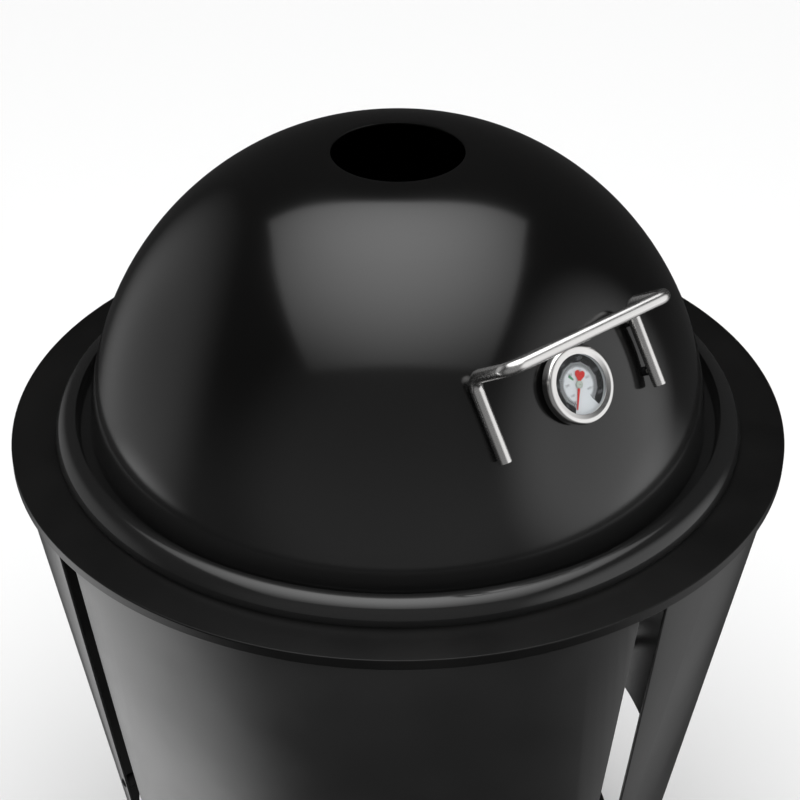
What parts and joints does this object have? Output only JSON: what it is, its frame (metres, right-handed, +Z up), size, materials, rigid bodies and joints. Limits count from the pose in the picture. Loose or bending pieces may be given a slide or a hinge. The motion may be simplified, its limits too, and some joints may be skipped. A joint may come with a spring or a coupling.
{
  "type": "round wood-fired griddle with domed lid",
  "caption": "Ring-shaped steel hot plate on a tapered round fire drum, under a domed black lid with a smoke hole, a bent rod handle and a dial thermometer.",
  "frame": {"origin": "on the floor, at the centre of the drum's axis", "axes": "+Z up along the drum's axis; -Y towards the lid's handle and thermometer; +X to the right seen from the handle"},
  "size_m": [0.7599, 0.76, 0.9217],
  "materials": {
    "frame_black": "heat-proof matt black paint on mild steel",
    "panel_black": "satin black stove paint on rolled sheet",
    "plate_black": "satin black seasoned steel",
    "lid_enamel": "gloss black enamel on spun steel",
    "chamber_steel": "soot-black fire-proof paint",
    "grate_iron": "seasoned cast iron",
    "pan_steel": "galvanised sheet",
    "handle_steel": "polished stainless rod with a fine drawn grain",
    "bezel_steel": "polished stainless",
    "fastener_steel": "zinc-plated",
    "fastener_black": "black-oxide",
    "gauge_brass": "turned brass",
    "dial_print": "printed white and black dial",
    "needle_red": "red lacquer",
    "gauge_glass": "clear glass",
    "pad_rubber": "black rubber"
  },
  "bodies": {
    "stand": {"leg_front": "frame_black", "leg_right": "frame_black", "leg_back": "frame_black", "leg_left": "frame_black", "side_panel_front_right": "panel_black", "side_panel_back_right": "panel_black", "side_panel_back_left": "panel_black", "side_panel_front_left": "panel_black", "foot_plates": "frame_black", "foot_pads": "pad_rubber", "top_ring": "frame_black", "base_shelf": "frame_black", "shelf_brackets": "frame_black", "panel_screws": "fastener_black", "panel_bushes": "frame_black", "fire_chamber": "chamber_steel", "chamber_studs": "fastener_steel", "chamber_nuts": "fastener_steel"},
    "griddle": {"griddle_plate": "plate_black", "plate_lugs": "plate_black"},
    "cooking_grate": {"cooking_grate": "grate_iron"},
    "fire_grate": {"fire_grate": "grate_iron"},
    "ash_pan": {"ash_pan": "pan_steel", "ash_pan_pull": "pan_steel"},
    "lid": {"lid_dome": "lid_enamel", "lid_handle": "handle_steel", "handle_spacers": "fastener_black", "handle_screws": "fastener_steel", "gauge_case": "bezel_steel", "gauge_bezel": "bezel_steel", "gauge_bush": "gauge_brass", "gauge_dial": "dial_print", "gauge_lens": "gauge_glass", "gauge_stem": "handle_steel", "gauge_gasket": "pad_rubber", "gauge_washer": "fastener_steel", "gauge_nut": "gauge_brass"},
    "needle": {"gauge_spindle": "gauge_brass", "gauge_needle": "needle_red"}
  },
  "joints": [
    {"name": "griddle_lift", "type": "slide", "parent": "stand", "child": "griddle", "axis": [0, 0, 1], "range_m": [0, 0.1]},
    {"name": "cooking_grate_lift", "type": "slide", "parent": "griddle", "child": "cooking_grate", "axis": [0, 0, 1], "range_m": [0, 0.2]},
    {"name": "lid_lift", "type": "slide", "parent": "griddle", "child": "lid", "axis": [0, 0, 1], "range_m": [0, 0.35]},
    {"name": "fire_grate_lift", "type": "slide", "parent": "stand", "child": "fire_grate", "axis": [0, 0, 1], "range_m": [0, 0.38]},
    {"name": "ash_pan_slide", "type": "slide", "parent": "stand", "child": "ash_pan", "axis": [-0.7071, -0.7071, 0], "range_m": [0, 0.42]},
    {"name": "needle_turn", "type": "hinge", "parent": "lid", "child": "needle", "pos_m": [0, -0.25354, 0.79791], "axis": [0, 0.8368, -0.5476], "range_deg": [0, 300], "stiffness_Nm_per_rad": 0.0008}
  ]
}
